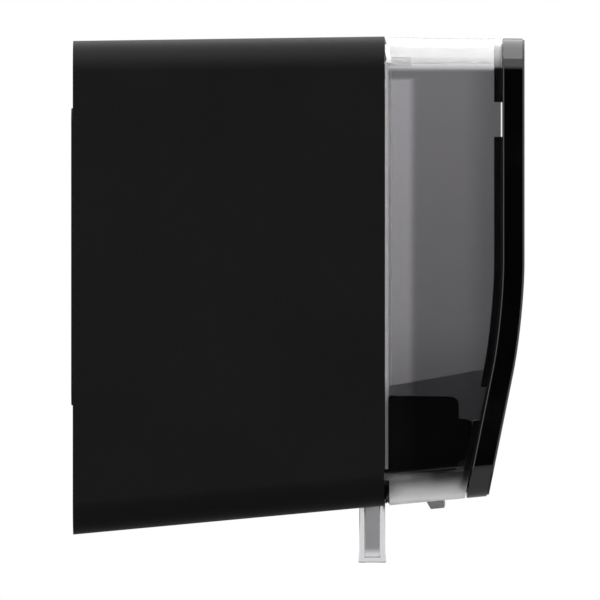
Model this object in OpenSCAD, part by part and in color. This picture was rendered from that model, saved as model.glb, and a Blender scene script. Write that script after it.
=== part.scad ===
// Wall dispenser for two toilet rolls that hang side by side.
// Origin: centre of the wall plate's back face. +Z is up and +X is to the right, seen from the front.
// The wall is the plane Y = 0, and depth is measured from the wall towards the front, along -Y.

/* [Overall] */
// Width over the side walls
unit_w = 330; // [322:1:360]
// Depth from the wall to the front face
unit_d = 184.5; // [182:0.5:196]
// Depth of the cover from its seam to the front face
cover_d = 57; // [54.5:0.5:58.5]
// Height of the roof at the seam, above the middle of the wall plate
roof_z = 89.5; // [87:0.5:100]
// How much lower the roof is at the wall
roof_back_drop = 1.8; // [0:0.1:4]
// How much lower the roof is at the front
roof_front_drop = 0.8; // [0:0.1:3]
// Height of the floor at the seam, below the middle of the wall plate
floor_drop = 101.3; // [100:0.1:108]
// Slope of the floor, which rises towards the front
floor_slope = 5.3; // [4:0.1:6]
// Radius of the long edges at roof and floor
corner_r = 13; // [10:0.5:16]

/* [Housing] */
// Thickness of the roof, floor and side walls
housing_wall = 2.5; // [2:0.1:3]
// Thickness of the back wall
back_wall = 4; // [3.5:0.1:5]
// Radius of the screw bosses
boss_r = 5; // [4.2:0.1:6]
// Depth of the screws in their bosses
screw_bite = 7; // [5:0.5:8]
// Radius of a screw's shank
screw_r = 1.9; // [1.5:0.1:2.2]
// Radius of a screw's head
screw_head_r = 3.8; // [3:0.1:4]
// Height of a screw's head
screw_head_h = 2.4; // [1.6:0.1:2.8]

/* [Wall plate] */
// Width of the wall plate
plate_w = 290; // [226:1:296]
// Height of the wall plate
plate_h = 121; // [116:1:130]
// Thickness of the wall plate
plate_t = 3; // [2.5:0.1:3.5]
// How far the wall plate stands out behind the housing
plate_proud = 1; // [0.6:0.1:1.5]
// Radius of the wall plate's corners
plate_corner_r = 6; // [3:0.5:10]
// Distance between wall screws across the width
mount_dx = 200; // [180:1:205]
// Distance between wall screws over the height
mount_dz = 100; // [98:1:104]
// Diameter of the holes for the wall screws
mount_hole = 5.5; // [4.5:0.1:6.5]

/* [Roll holders] */
// Depth of the rolls' axis from the wall
roll_d = 88; // [80:0.5:92]
// Height of the rolls' axis
roll_z = 12; // [8:0.5:16]
// Room beside a roll for its hubs, arm and spring
side_room = 45; // [43:0.5:53]
// Radius of an axle
axle_r = 3; // [2.5:0.1:3.5]
// Radius of a hub's flange
hub_flange_r = 19; // [16:0.5:22]
// Thickness of a hub's flange
hub_flange_t = 3; // [2:0.1:4]
// Length of a hub's nose
hub_nose_l = 12; // [8:0.5:14]
// Radius of a hub's nose at the flange
hub_nose_r = 10; // [8.5:0.1:12]
// Radius of a hub's nose at its tip
hub_tip_r = 7; // [6:0.1:8]
// Number of grip fins on a hub
hub_fins = 4; // [3:1:6]
// Thickness of a drag washer
washer_t = 1; // [0.6:0.1:1.5]
// Radius of a drag washer
washer_r = 11; // [8:0.5:14]
// Thickness of the centre post
post_t = 6; // [4:0.5:8]
// Height of the centre post
post_h = 34; // [30:1:38]
// Thickness of a spring arm
arm_t = 5; // [4:0.5:6]
// Radius of a spring arm round its axle
arm_end_r = 15; // [12:0.5:18]
// Radius of a spring arm at its pivot
arm_root_r = 7; // [6:0.5:8]
// Depth of the arms' pivots from the wall
pivot_d = 24; // [23:0.5:26]
// Radius of a pivot pin
pivot_pin_r = 2.5; // [2:0.1:3]
// Radius of an arm's pivot barrel
barrel_r = 5; // [4.5:0.1:5.5]
// Height of an arm's pivot barrel
barrel_h = 36; // [30:1:38]
// Thickness of the frame plate
frame_t = 4; // [3:0.1:4.5]
// Height that the frame stands off the back wall
frame_standoff = 6; // [5:0.1:6.5]
// Thickness of the frame's pivot lugs
lug_t = 6; // [4:0.5:7]
// Radius of the frame's pivot lugs
lug_r = 6; // [5.5:0.1:7]
// Depth of the arm springs from the wall
spring_d = 62; // [56:1:68]
// Wire diameter of the arm springs
spring_wire = 1.2; // [0.9:0.1:1.4]
// Mean radius of the arm springs
spring_r = 5.4; // [5:0.1:6]
// Number of turns of an arm spring
spring_turns = 6; // [4:1:7]

/* [Paper chute and shutter] */
// Height of the chute's underside above the floor at the seam
chute_rise = 13.3; // [12.5:0.1:15]
// Height of the chute
chute_h = 31; // [26:0.5:34]
// Distance of the chute's ends from the outer sides
chute_in = 27; // [24:0.5:30]
// Distance of the chute's back wall behind the seam
chute_back_in = 26.5; // [24.5:0.5:28.5]
// Distance of the chute's front beam behind the front face
chute_front_in = 27; // [26.5:0.5:29.5]
// Thickness of the chute's walls
chute_wall = 3; // [2:0.1:3.5]
// Width of the ledge on the chute's front beam
ledge_reach = 5.5; // [2:0.5:6]
// Width of the bars beside the paper slots
slot_gap = 11; // [10:0.5:19]
// Distance of the paper slots in front of the seam
slot_lead = 2.5; // [0.5:0.5:4.5]
// Distance between the paper slots and the front beam
slot_beam_gap = 5.5; // [3:0.5:9]
// Thickness of the shutter
shutter_t = 2.2; // [1.8:0.1:2.4]
// Width of a shutter rail
rail_w = 8; // [7:0.5:9]
// Thickness of the rail lip under the shutter
rail_lip = 2.2; // [1.6:0.1:2.6]
// How far the shutter reaches into a rail
rail_bite = 3.5; // [2.5:0.1:4]
// Width of the shutter lever
lever_w = 12; // [8:0.5:16]
// Length of the shutter lever below the floor at the seam
lever_drop = 23.6; // [18:0.1:26]
// Distance of the lever's front face in front of the seam
lever_lead = 0; // [-1:0.1:0.5]
// Depth of the lever from back to front
lever_d = 10.6; // [9:0.1:12]
// Thickness of the lever's rim
lever_rim = 2.2; // [1.6:0.1:2.6]
// Thickness of the lever's web
lever_web = 2.5; // [1.8:0.1:3]

/* [Cover] */
// Thickness of the clear ring's wall
ring_wall = 2.2; // [1.8:0.1:2.6]
// Relief at the clear ring's back edge, at roof and floor
ring_relief = 1.8; // [1.8:0.1:2.2]
// Height of the relief over the floor
relief_h = 10.3; // [8:0.1:12]
// Depth of the black face frame
face_t = 9; // [8:0.1:10]
// Thickness of the front panel
panel_t = 0.8; // [0.6:0.1:1.2]
// Thickness of the face frame's web behind the panel
face_web = 2.2; // [1.6:0.1:3]
// Depth of the face frame's lip inside the clear ring
lip_l = 3.4; // [2:0.1:3.6]
// Thickness of the face frame's lip
lip_t = 1.5; // [1.2:0.1:2]
// Height at which the front begins to lean back
bend_z = -2.2; // [-12:0.2:8]
// Radius of the bend in the front
bend_r = 227; // [200:1:260]
// Lean of the front below the bend
front_lean = 11.4; // [10.5:0.1:12]
// Distance of the paper outlet's ends from the chute's ends
outlet_in = 10; // [9:0.5:18]
// Distance of the tear bar's teeth in front of the paper slots
tear_lead = 0.5; // [0.5:0.1:2]
// Depth of the tear bar from back to front
tear_w = 7; // [5:0.5:8]
// Thickness of the tear bar
tear_t = 3.2; // [2:0.1:3.4]
// Pitch of the tear bar's teeth
tooth_pitch = 3.2; // [2:0.1:5]
// Height of the tear bar's teeth
tooth_h = 1.5; // [1:0.1:1.8]
// Thickness of the smoked shades inside the clear ring
shade_t = 1.2; // [0.8:0.1:1.6]
// Height of the shades' back corner, below the middle of the wall plate
shade_drop = 52.6; // [46:0.2:58]
// Slope of the shades' top edge
shade_slope = 9.9; // [4:0.1:12]

/* [Hinge] */
// Radius of a hinge knuckle
knuckle_r = 2.8; // [2.6:0.1:3]
// Radius of a hinge pin
hinge_pin_r = 1.4; // [1.2:0.1:1.6]
// Distance of the hinge axis in front of the seam
hinge_reach = 3.8; // [3.8:0.1:4.2]
// Distance of a hinge from the outer side
hinge_in = 31; // [29:0.5:33]
// Width of a housing knuckle
knuckle_w = 6; // [5:0.5:7]
// Width of a cover knuckle
leaf_w = 9; // [7:0.5:10]
// Length of a hinge leaf along the floor
leaf_l = 15; // [12:0.5:16]

/* [Lock] */
// Distance of the lock's axis behind the seam
lock_in = 19.5; // [19:0.5:21]
// Radius of the lock's key plug
plug_r = 5.5; // [5:0.1:6]
// Radius of the lock's sleeve
sleeve_r = 8; // [7.5:0.1:9]
// Length of the lock's sleeve
sleeve_l = 15; // [12:0.5:16]
// Distance of the catch's pin from the lock's axis
hook_r = 16; // [15:0.5:17]
// Radius of the catch's pin
catch_pin_r = 3; // [2.5:0.1:3.2]
// Thickness of the hook
hook_t = 3; // [2:0.1:4]
// Turn of the lock from open to locked
lock_turn = 80; // [70:1:90]

/* [Fits] */
// Running clearance of pins and axles, on the radius
run_fit = 0.05; // [0.02:0.01:0.1]
// Clearance of screws in their holes, on the radius
screw_fit = 0.1; // [0.05:0.01:0.2]
// Gap between parts that slide or swing past each other
slide_gap = 0.3; // [0.2:0.05:0.4]

/* [Hidden] */
$fn = 64;
hull_fn = 32;
sliver = 0.01;
over = 1;

seam_d = unit_d - cover_d;
housing_back_d = plate_proud;
inner_back_d = housing_back_d + back_wall;
inner_half_w = unit_w / 2 - housing_wall;
ring_d = seam_d + slide_gap;
ring_half_w = unit_w / 2 - ring_wall;

function floor_at(d) = -floor_drop + (d - seam_d) * tan(floor_slope);
function roof_at(d) = d < seam_d
    ? roof_z - roof_back_drop * (seam_d - d) / (seam_d - housing_back_d)
    : roof_z - roof_front_drop * (d - seam_d) / (unit_d - seam_d);

frame_d = inner_back_d + frame_standoff;
frame_front_d = frame_d + frame_t;
bay_w = unit_w / 2 - side_room;
inner_hub_x = post_t / 2 + washer_t + slide_gap;
outer_hub_x = inner_hub_x + 2 * hub_flange_t + bay_w;
arm_in_x = outer_hub_x + slide_gap + washer_t;
arm_out_x = arm_in_x + arm_t;
arm_x = arm_in_x + arm_t / 2;
hub_l = hub_flange_t + hub_nose_l;
axle_head_reach = 2;
axle_head_r = axle_r + axle_head_reach;
axle_head_h = 2;
nut_h = 4;
nut_wall = 2.8;
nut_r = axle_r + nut_wall;
thread_end = 1;
fin_t = 1.6;
fin_reach = 2.4;
frame_h = barrel_h + 2 * (slide_gap + lug_t);
frame_screw_in = 24;
frame_screw_x = arm_x - frame_screw_in;
frame_screw_z = frame_h / 2 - 1.5 * screw_head_r;
post_flange_t = 4;
post_zs = [roll_z - post_h / 2, roll_z + post_h / 2];
post_screw_x = post_t / 2 + 1.2 * screw_head_r;
post_flange_w = 2 * (post_screw_x + 1.3 * screw_head_r);
spring_steps = 8;
seat_r = spring_r * cos(180 / spring_steps) - spring_wire / 2 - slide_gap;
seat_h = 4;
arm_seat_h = 3;
tip_gap = 0.5;
sunk_h = shutter_t - tip_gap;

chute_z = -floor_drop + chute_rise;
chute_top_z = chute_z + chute_h;
chute_side_h = 22;
chute_side_z = chute_z + chute_side_h;
chute_half_w = unit_w / 2 - chute_in;
chute_w = 2 * chute_half_w;
chute_back_d = seam_d - chute_back_in;
chute_front_d = unit_d - chute_front_in;
beam_t = 8;
beam_d = chute_front_d - beam_t / 2;
beam_round_r = 3.5;
ledge_h = 17;
ledge_drop = 9;
slot_w = chute_half_w - 2 * slot_gap;
slot_back_d = seam_d + slot_lead;
slot_front_d = chute_front_d - beam_t - slot_beam_gap;
chute_lug_w = 17;
chute_lug_d = 24;
chute_screw_in = 5;
chute_screw_x = chute_half_w + chute_lug_w - screw_head_r - chute_screw_in;
chute_screw_ds = [chute_back_d + chute_screw_in, chute_back_d + chute_lug_d - chute_screw_in];
rail_t = slide_gap * 2 + shutter_t + rail_lip;
shutter_top_z = chute_z - slide_gap;
shutter_z = shutter_top_z - shutter_t;
rail_back_d = chute_back_d + chute_wall;
rail_front_d = chute_front_d - chute_wall;
shutter_back_d = rail_back_d + rail_w - rail_bite;
shutter_front_d = rail_front_d - rail_w + rail_bite;
stop_t = 1.6;
shutter_short = 4;
shutter_w = chute_half_w - stop_t - 2 * slide_gap - shutter_short;
shutter_x = chute_half_w - stop_t - slide_gap - shutter_w / 2;
lever_front_d = seam_d + lever_lead;
lever_back_d = lever_front_d - lever_d;
lever_z = -floor_drop - lever_drop;
lever_foot = 2.8;
lever_flange_t = 3;
lever_flange_w = 30;
lever_flare = 0.4;
lever_flare_h = 5;
lever_screw_x = lever_flange_w / 2 - 1.3 * screw_head_r;
lever_screw_d = lever_front_d - lever_d / 2;
lever_slot_gap = 2;
lever_slot_half_w = shutter_x + lever_flange_w / 2 + lever_slot_gap;

relief_ds = [ring_d - over, ring_d + ring_relief];
relief_zs = [-floor_drop - over, -floor_drop + relief_h];
face_rim = ring_wall + slide_gap + lip_t;
outlet_w = chute_w - 2 * outlet_in;
tear_d = slot_front_d + tear_lead;
upper_gap_h = 17.8;
upper_gap_drop = 40.9;
upper_gap_z = roof_z - upper_gap_drop;
lower_gap_h = 13.8;
lower_gap_rise = 34.4;
lower_gap_z = -floor_drop + lower_gap_rise;
lip_gaps = [[upper_gap_z, upper_gap_z + upper_gap_h], [lower_gap_z, lower_gap_z + lower_gap_h]];
panel_inset = 0.6;
shade_gap = 0.3;
shade_back_d = ring_d + ring_relief;
hinge_x = unit_w / 2 - hinge_in;
hinge_d = seam_d + hinge_reach * cos(floor_slope) - knuckle_r * sin(floor_slope);
hinge_z = -floor_drop + hinge_reach * sin(floor_slope) + knuckle_r * cos(floor_slope);
hinge_top = 2 * knuckle_r;
bracket_post_ds = [seam_d - knuckle_w, seam_d + ring_relief - slide_gap];
bracket_post_zs = [floor_at(seam_d) + housing_wall + slide_gap, relief_zs[1]];
leaf_x = hinge_x + knuckle_w + slide_gap;

lock_d = seam_d - lock_in;
lock_sink = 0.2;
lock_top_z = roof_at(lock_d) - lock_sink;
flange_reach = 2.5;
flange_r = sleeve_r + flange_reach;
flange_t = 2.4;
flange_top_z = roof_at(lock_d - flange_r) - housing_wall - run_fit;
sleeve_z = lock_top_z - sleeve_l;
hook_z = sleeve_z - slide_gap - hook_t;
hook_in_r = hook_r + catch_pin_r + 2 * slide_gap;
hook_band = 3.6;
hook_out_r = hook_in_r + hook_band;
hook_span = 60;
hook_lead = 25;
hook_arm_span = 16;
catch_d = lock_d + hook_r;
catch_t = 3.5;
catch_top_z = flange_top_z - flange_t - slide_gap;
catch_z = catch_top_z - catch_t;
catch_arm_wall = 2;
catch_arm_r = catch_pin_r + catch_arm_wall;
catch_web_l = 8;
catch_web_ds = [ring_d + ring_relief + slide_gap, ring_d + ring_relief + slide_gap + catch_web_l];
key_slot = [1.6, 7, 4];

black = "#1b1b1d";
deep_black = "#0c0c0d";
smoke = "#4a484c";
clear = "#d8dade";
steel = "#b9bcc0";
rubber = "#2b2b2b";
nylon = "#e4e4e0";

// A box given by its reach in width, depth and height
module block(x, d, z)
    translate([x[0], -d[1], z[0]]) cube([x[1] - x[0], d[1] - d[0], z[1] - z[0]]);

// A rod that runs from the wall side towards the front
module depth_rod(x, d, z, r, l)
    translate([x, -d, z]) rotate([90, 0, 0]) cylinder(r = r, h = l);

// A rod along the width, from x0 to x1
module width_rod(x0, x1, d, z, r)
    translate([min(x0, x1), -d, z]) rotate([0, 90, 0]) cylinder(r = r, h = abs(x1 - x0));

// A profile drawn in depth and height, carried across the width
module across(w, x = 0)
    translate([x, 0, 0]) rotate([90, 0, -90]) linear_extrude(w, center = true) children();

// The part itself and its mirror image on the other side
module both_sides() {
    children();
    mirror([1, 0, 0]) children();
}

module side(s) {
    if (s > 0) children();
    else mirror([1, 0, 0]) children();
}

// The space inside the outer skin between two depths, drawn in on all four sides
module body_space(d0, d1, inset) {
    r = corner_r - inset;
    ends = [[d0, floor_at(d0) + inset, roof_at(d0) - inset],
            [d1 - sliver, floor_at(d1) + inset, roof_at(d1) - inset]];
    hull()
        for (e = ends, s = [-1, 1], z = [e[1] + r, e[2] - r])
            depth_rod(s * (unit_w / 2 - inset - r), e[0], z, r, sliver, $fn = hull_fn);
}

// Depth and height of everything behind the front face, moved back by a distance
module behind_front(back) {
    steps = 8;
    front = unit_d - back;
    low = -2 * floor_drop;
    bend = [for (i = [0:steps]) let (a = front_lean * i / steps)
        [front - bend_r + bend_r * cos(a), bend_z - bend_r * sin(a)]];
    last = bend[steps];
    foot = [last[0] - (last[1] - low) * tan(front_lean), low];
    polygon(concat([[0, 2 * roof_z], [front, 2 * roof_z]], bend, [foot, [0, low]]));
}

// Carries its children to a place on the sloping floor: +Z leaves the floor and -Y runs along it
module on_floor(d)
    translate([0, -d, floor_at(d)]) rotate([-floor_slope, 0, 0]) children();

module rounded_plate(w, h, r) {
    square([w - 2 * r, h], center = true);
    square([w, h - 2 * r], center = true);
    for (x = [-1, 1], y = [-1, 1])
        translate([x * (w / 2 - r), y * (h / 2 - r)]) circle(r);
}

// Two round ends joined by their tangents, from the origin along +X
module tapered_bar(l, r0, r1) {
    a = asin((r1 - r0) / l);
    circle(r0);
    translate([l, 0]) circle(r1);
    polygon([for (e = [[0, r0, 1], [l, r1, 1], [l, r1, -1], [0, r0, -1]])
        [e[0] - e[1] * sin(a), e[2] * e[1] * cos(a)]]);
}

// A screw through a plate: the plate's far side is the plane z = 0, and the tip stays short of its hole
module screw(bite, plate) {
    translate([0, 0, plate]) cylinder(r = screw_head_r, h = screw_head_h);
    translate([0, 0, tip_gap - bite]) cylinder(r = screw_r, h = bite - tip_gap + plate + sliver);
}

// The hole for a screw's tip, below the plane z = 0
module tip_hole(bite) translate([0, 0, -bite]) cylinder(r = screw_r + screw_fit, h = bite + over);

// The hole through a plate that lies on the plane z = 0
module plate_hole(plate) translate([0, 0, -over]) cylinder(r = screw_r + screw_fit, h = plate + 2 * over);

module at_frame_screws()
    for (x = [-1, 1], z = [-1, 1])
        translate([x * frame_screw_x, -frame_d, roll_z + z * frame_screw_z]) rotate([90, 0, 0]) children();

module at_post_screws()
    for (x = [-1, 1], z = [-1, 1])
        translate([x * post_screw_x, -frame_front_d, roll_z + z * (post_h / 2 - 1.3 * screw_head_r)])
            rotate([90, 0, 0]) children();

module at_chute_screws()
    for (x = [-1, 1], d = chute_screw_ds)
        translate([x * chute_screw_x, -d, chute_z]) children();

module at_lever_screws()
    for (x = [-1, 1])
        translate([x * lever_screw_x - shutter_x, -lever_screw_d, shutter_top_z]) children();

module at_wall_screws()
    for (x = [-1, 1], z = [-1, 1])
        translate([x * mount_dx / 2, 0, z * mount_dz / 2]) rotate([90, 0, 0]) children();

// Housing and what is fixed in it

module rear_housing() color(black)
    difference() {
        union() {
            difference() {
                body_space(housing_back_d, seam_d, 0);
                body_space(inner_back_d, seam_d + over, housing_wall);
            }
            at_frame_screws() boss(frame_standoff + back_wall / 4);
            at_chute_screws() boss(chute_z - floor_at(chute_back_d) - housing_wall / 2);
            both_sides()
                width_rod(inner_half_w - seat_h, inner_half_w + housing_wall / 2, spring_d, roll_z, seat_r);
        }
        translate([0, -housing_back_d + over, 0]) rotate([90, 0, 0])
            linear_extrude(plate_t - plate_proud + over)
                rounded_plate(plate_w + 2 * slide_gap, plate_h + 2 * slide_gap, plate_corner_r + slide_gap);
        at_wall_screws() cylinder(d = mount_hole, h = inner_back_d + over);
        at_frame_screws() tip_hole(screw_bite);
        at_chute_screws() tip_hole(screw_bite);
        translate([0, -lock_d, roof_z - 2 * housing_wall])
            cylinder(r = sleeve_r + screw_fit, h = 3 * housing_wall);
        block([-lever_slot_half_w, lever_slot_half_w], [lever_back_d - lever_slot_gap, seam_d + over],
              [floor_at(lever_back_d) - over, floor_at(seam_d) + housing_wall + over]);
    }

// A screw boss that reaches down from the plane z = 0
module boss(h) translate([0, 0, -h]) cylinder(r = boss_r, h = h);

module wall_plate() color(deep_black)
    difference() {
        rotate([90, 0, 0]) linear_extrude(plate_t) rounded_plate(plate_w, plate_h, plate_corner_r);
        translate([0, over, 0]) at_wall_screws() cylinder(d = mount_hole, h = plate_t + 2 * over);
    }

module roll_frame() color(deep_black)
    difference() {
        union() {
            block([-arm_x - lug_r, arm_x + lug_r], [frame_d, frame_front_d],
                  [roll_z - frame_h / 2, roll_z + frame_h / 2]);
            both_sides()
                for (z = [roll_z - frame_h / 2, roll_z + frame_h / 2 - lug_t]) {
                    block([arm_x - lug_r, arm_x + lug_r], [frame_front_d - over, pivot_d], [z, z + lug_t]);
                    translate([arm_x, -pivot_d, z]) cylinder(r = lug_r, h = lug_t);
                }
        }
        both_sides()
            translate([arm_x, -pivot_d, roll_z - frame_h])
                cylinder(r = pivot_pin_r + run_fit, h = 2 * frame_h);
        at_frame_screws() plate_hole(frame_t);
        at_post_screws() tip_hole(frame_t + over);
    }

module frame_screws() color(steel) at_frame_screws() screw(screw_bite, frame_t);

module post_screws() color(steel) at_post_screws() screw(frame_t, post_flange_t);

module centre_post() color(deep_black)
    difference() {
        union() {
            block([-post_flange_w / 2, post_flange_w / 2], [frame_front_d, frame_front_d + post_flange_t],
                  post_zs);
            block([-post_t / 2, post_t / 2], [frame_front_d, roll_d], post_zs);
            width_rod(-post_t / 2, post_t / 2, roll_d, roll_z, post_h / 2);
        }
        width_rod(-post_t, post_t, roll_d, roll_z, axle_r + run_fit);
        at_post_screws() plate_hole(post_flange_t);
    }

module inner_axle() color(steel) {
    reach = inner_hub_x + hub_l + slide_gap;
    width_rod(-reach, reach + nut_h + thread_end, roll_d, roll_z, axle_r);
    width_rod(-reach - axle_head_h, -reach, roll_d, roll_z, axle_head_r);
}

module nut(x) color(steel)
    difference() {
        translate([x, -roll_d, roll_z]) rotate([0, 90, 0]) cylinder(r = nut_r, h = nut_h, $fn = 6);
        width_rod(x - over, x + nut_h + over, roll_d, roll_z, axle_r + run_fit);
    }

module inner_axle_nut() nut(inner_hub_x + hub_l + slide_gap);

module washer(x) color(nylon)
    difference() {
        width_rod(x, x + washer_t, roll_d, roll_z, washer_r);
        width_rod(x - over, x + washer_t + over, roll_d, roll_z, axle_r + run_fit);
    }

module inner_washers() both_sides() washer(post_t / 2);

module arm_pivot_pins() color(steel)
    both_sides() translate([arm_x, -pivot_d, roll_z - frame_h / 2]) cylinder(r = pivot_pin_r, h = frame_h);

// Spring arms with their axles and hubs

module spring_arm() color(deep_black)
    difference() {
        union() {
            across(arm_t, arm_x)
                translate([pivot_d, roll_z]) tapered_bar(roll_d - pivot_d, arm_root_r, arm_end_r);
            translate([arm_x, -pivot_d, roll_z - barrel_h / 2]) cylinder(r = barrel_r, h = barrel_h);
            width_rod(arm_x, arm_out_x + arm_seat_h, spring_d, roll_z, seat_r);
        }
        translate([arm_x, -pivot_d, roll_z - barrel_h]) cylinder(r = pivot_pin_r + run_fit, h = 2 * barrel_h);
        width_rod(arm_in_x - over, arm_out_x + over, roll_d, roll_z, axle_r + run_fit);
    }

module outer_axle() color(steel) {
    tip = outer_hub_x - hub_l - slide_gap;
    width_rod(tip, arm_out_x + nut_h + thread_end, roll_d, roll_z, axle_r);
    width_rod(tip - axle_head_h, tip, roll_d, roll_z, axle_head_r);
}

// A hub on its side: the flange lies on the plane z = 0 and the nose points up
module hub() color(nylon) {
    bore = axle_r + run_fit;
    rotate_extrude()
        polygon([[bore, 0], [hub_flange_r, 0], [hub_flange_r, hub_flange_t], [hub_nose_r, hub_flange_t],
                 [hub_tip_r, hub_l], [bore, hub_l]]);
    fin_foot = hub_flange_t - sliver;
    fin_top = hub_l - fin_reach / 2;
    for (i = [0:hub_fins - 1])
        rotate([90, 0, 360 * i / hub_fins])
            linear_extrude(fin_t, center = true)
                polygon([[bore + fin_t, fin_foot], [hub_nose_r + fin_reach, fin_foot],
                         [hub_tip_r + fin_reach / 2, fin_top], [bore + fin_t, fin_top]]);
}

module inner_hub() translate([inner_hub_x, -roll_d, roll_z]) rotate([0, 90, 0]) hub();

module outer_hub() translate([outer_hub_x, -roll_d, roll_z]) rotate([0, -90, 0]) hub();

// A compression spring between an arm and the side wall: straight ends, then a helix round the X axis
spring_x0 = arm_out_x + run_fit;
spring_l = inner_half_w - run_fit - spring_x0;
spring_pitch = (spring_l - 2 * spring_wire) / spring_turns;
spring_last = spring_turns * spring_steps;
spring_line = concat(
    [[spring_x0, 0]],
    [for (i = [0:spring_last]) let (turns = i / spring_steps)
        [spring_x0 + spring_wire + spring_pitch * turns, 360 * turns]],
    [[spring_x0 + spring_l, spring_turns * 360]]);

spring_centres = [for (p = spring_line)
    [p[0], -spring_d + spring_r * cos(p[1]), roll_z + spring_r * sin(p[1])]];
spring_gap = min([for (i = [0:len(spring_centres) - 1], j = [i + spring_steps / 2:1:len(spring_centres) - 1])
    norm(spring_centres[i] - spring_centres[j])]) - spring_wire;
echo(str("least gap between the spring's turns, mm: ", spring_gap));

// Second direction of the wire's section, beside the outward one: the wire leaves its straight end by a mitre
function spring_side(i, turn) =
    let (last = len(spring_line) - 1, round = [0, -sin(turn), cos(turn)])
    i == 0 || i == last ? round : i == 1 || i == last - 1 ? round - [1, 0, 0] : [-1, 0, 0];

module arm_spring() color(steel) {
    sides = 6;
    last = len(spring_line) - 1;
    points = [for (i = [0:last], k = [0:sides - 1])
        let (turn = spring_line[i][1], out = [0, cos(turn), sin(turn)], a = 360 * k / sides)
        spring_centres[i] + spring_wire / 2 * (cos(a) * out + sin(a) * spring_side(i, turn))];
    walls = [for (i = [0:last - 1], k = [0:sides - 1]) let (n = (k + 1) % sides, a = i * sides, b = a + sides)
        each [[a + k, b + k, b + n], [a + k, b + n, a + n]]];
    caps = [for (k = [1:sides - 2]) let (end = last * sides)
        each [[0, k, k + 1], [end, end + k + 1, end + k]]];
    polyhedron(points, concat(walls, caps));
}

// Paper chute, shutter and lever

module paper_chute() color(deep_black)
    difference() {
        union() {
            block([-chute_half_w, chute_half_w], [chute_back_d, beam_d], [chute_z, chute_z + chute_wall]);
            block([-chute_half_w, chute_half_w], [chute_back_d, chute_back_d + chute_wall],
                  [chute_z, chute_side_z]);
            across(chute_w) front_beam();
            block([-slot_gap / 2, slot_gap / 2], [chute_back_d, beam_d], [chute_z, chute_side_z]);
            both_sides() {
                end_xs = [chute_half_w - chute_wall, chute_half_w];
                block(end_xs, [seam_d - beam_t, beam_d], [chute_z, chute_top_z]);
                block(end_xs, [chute_back_d, seam_d], [chute_z, chute_side_z]);
                block([end_xs[0], chute_half_w + chute_lug_w], [chute_back_d, chute_back_d + chute_lug_d],
                      [chute_z, chute_z + chute_wall]);
            }
        }
        both_sides()
            block([slot_gap, slot_gap + slot_w], [slot_back_d, slot_front_d],
                  [chute_z - over, chute_z + chute_wall + over]);
        at_chute_screws() plate_hole(chute_wall);
    }

// Profile of the chute's front beam with its round top and its ledge
module front_beam() {
    translate([beam_d, chute_z + chute_h / 2]) rounded_plate(beam_t, chute_h, beam_round_r);
    translate([beam_d + ledge_reach / 2, chute_top_z - ledge_drop - ledge_h / 2])
        rounded_plate(beam_t + ledge_reach, ledge_h, beam_round_r);
}

module chute_screws() color(steel) at_chute_screws() screw(screw_bite, chute_wall);

// A rail under the chute with a groove on the side that faces the shutter
module rail(d0, groove_d0) color(clear)
    difference() {
        block([-chute_half_w, chute_half_w], [d0, d0 + rail_w], [chute_z - rail_t, chute_z]);
        block([-chute_half_w - over, chute_half_w + over], [groove_d0, groove_d0 + rail_bite + slide_gap],
              [shutter_z - slide_gap, chute_z + over]);
    }

module shutter_rail_back() rail(rail_back_d, shutter_back_d - slide_gap);

module shutter_rail_front() rail(rail_front_d - rail_w, rail_front_d - rail_w);

module shutter_stops() color(rubber)
    both_sides()
        for (d = [shutter_back_d - slide_gap, rail_front_d - rail_w])
            block([chute_half_w - stop_t, chute_half_w], [d, d + rail_bite + slide_gap],
                  [shutter_z - slide_gap, chute_z]);

module shutter_door() color(clear)
    difference() {
        block([-shutter_x - shutter_w / 2, -shutter_x + shutter_w / 2], [shutter_back_d, shutter_front_d],
              [shutter_z, shutter_top_z]);
        at_lever_screws() {
            tip_hole(shutter_t + over);
            translate([0, 0, -sunk_h])
                cylinder(r1 = screw_r + screw_fit, r2 = screw_head_r + screw_fit, h = sunk_h + sliver);
        }
    }

// Countersunk screws, flush with the shutter's upper side
module lever_screws() color(steel)
    at_lever_screws() {
        length = shutter_t + lever_flange_t - tip_gap;
        translate([0, 0, -length]) cylinder(r = screw_r, h = length);
        translate([0, 0, -sunk_h]) cylinder(r1 = screw_r, r2 = screw_head_r, h = sunk_h);
    }

// Side outline of the lever in depth and height, drawn in by a distance
module lever_outline(inset, foot) {
    b = lever_back_d + inset;
    f = lever_front_d - inset;
    polygon([[b, shutter_z], [b, lever_z + lever_flare_h], [b - lever_flare, lever_z + foot],
             [f + lever_flare, lever_z + foot], [f, lever_z + lever_flare_h], [f, shutter_z]]);
}

module shutter_lever() color(clear)
    difference() {
        union() {
            difference() {
                across(lever_w, -shutter_x) lever_outline(0, 0);
                across(lever_w + 2 * over, -shutter_x) lever_outline(lever_rim, lever_foot);
            }
            across(lever_web, -shutter_x) lever_outline(lever_rim / 2, lever_foot / 2);
            translate([-shutter_x, 0, 0])
                block([-lever_flange_w / 2, lever_flange_w / 2], [lever_back_d, lever_front_d],
                      [shutter_z - lever_flange_t, shutter_z]);
        }
        at_lever_screws() tip_hole(shutter_t + lever_flange_t + over);
    }

// Hinge between housing and cover

module hinge_axis_rod(x0, x1, r) width_rod(x0, x1, hinge_d, hinge_z, r);

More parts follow.
